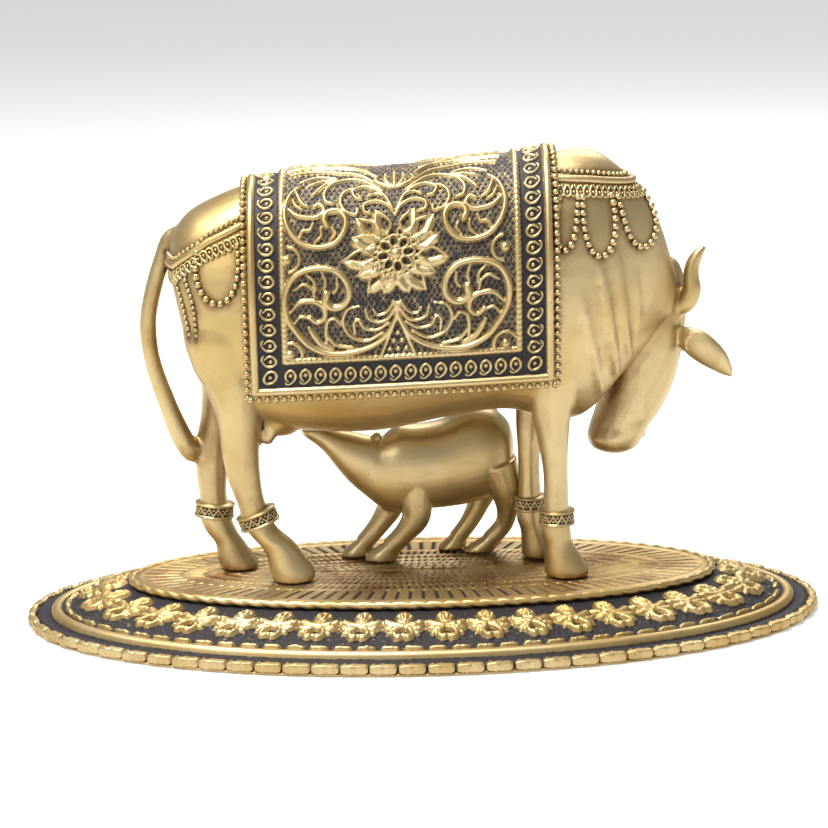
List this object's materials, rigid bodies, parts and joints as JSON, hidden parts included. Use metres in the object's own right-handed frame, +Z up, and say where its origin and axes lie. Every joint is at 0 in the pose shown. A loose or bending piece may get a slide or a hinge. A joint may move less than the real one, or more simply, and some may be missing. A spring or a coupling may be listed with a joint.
{
  "type": "cow and calf statue",
  "caption": "Cast brass statue of a dressed cow with a calf at her udder, on an oval stepped stand with a leaf band.",
  "frame": {"origin": "centre of the stand's underside", "axes": "+X the way the cow faces, along the stand's long axis; +Y towards the calf's side; +Z up"},
  "size_m": [0.254, 0.132, 0.1512],
  "materials": {
    "aged_brass": "antique brass with dark recesses",
    "brass": "polished antique brass with dark recesses"
  },
  "bodies": {
    "root": {"oval_base": "aged_brass", "cow": "brass", "calf": "brass"}
  },
  "joints": []
}
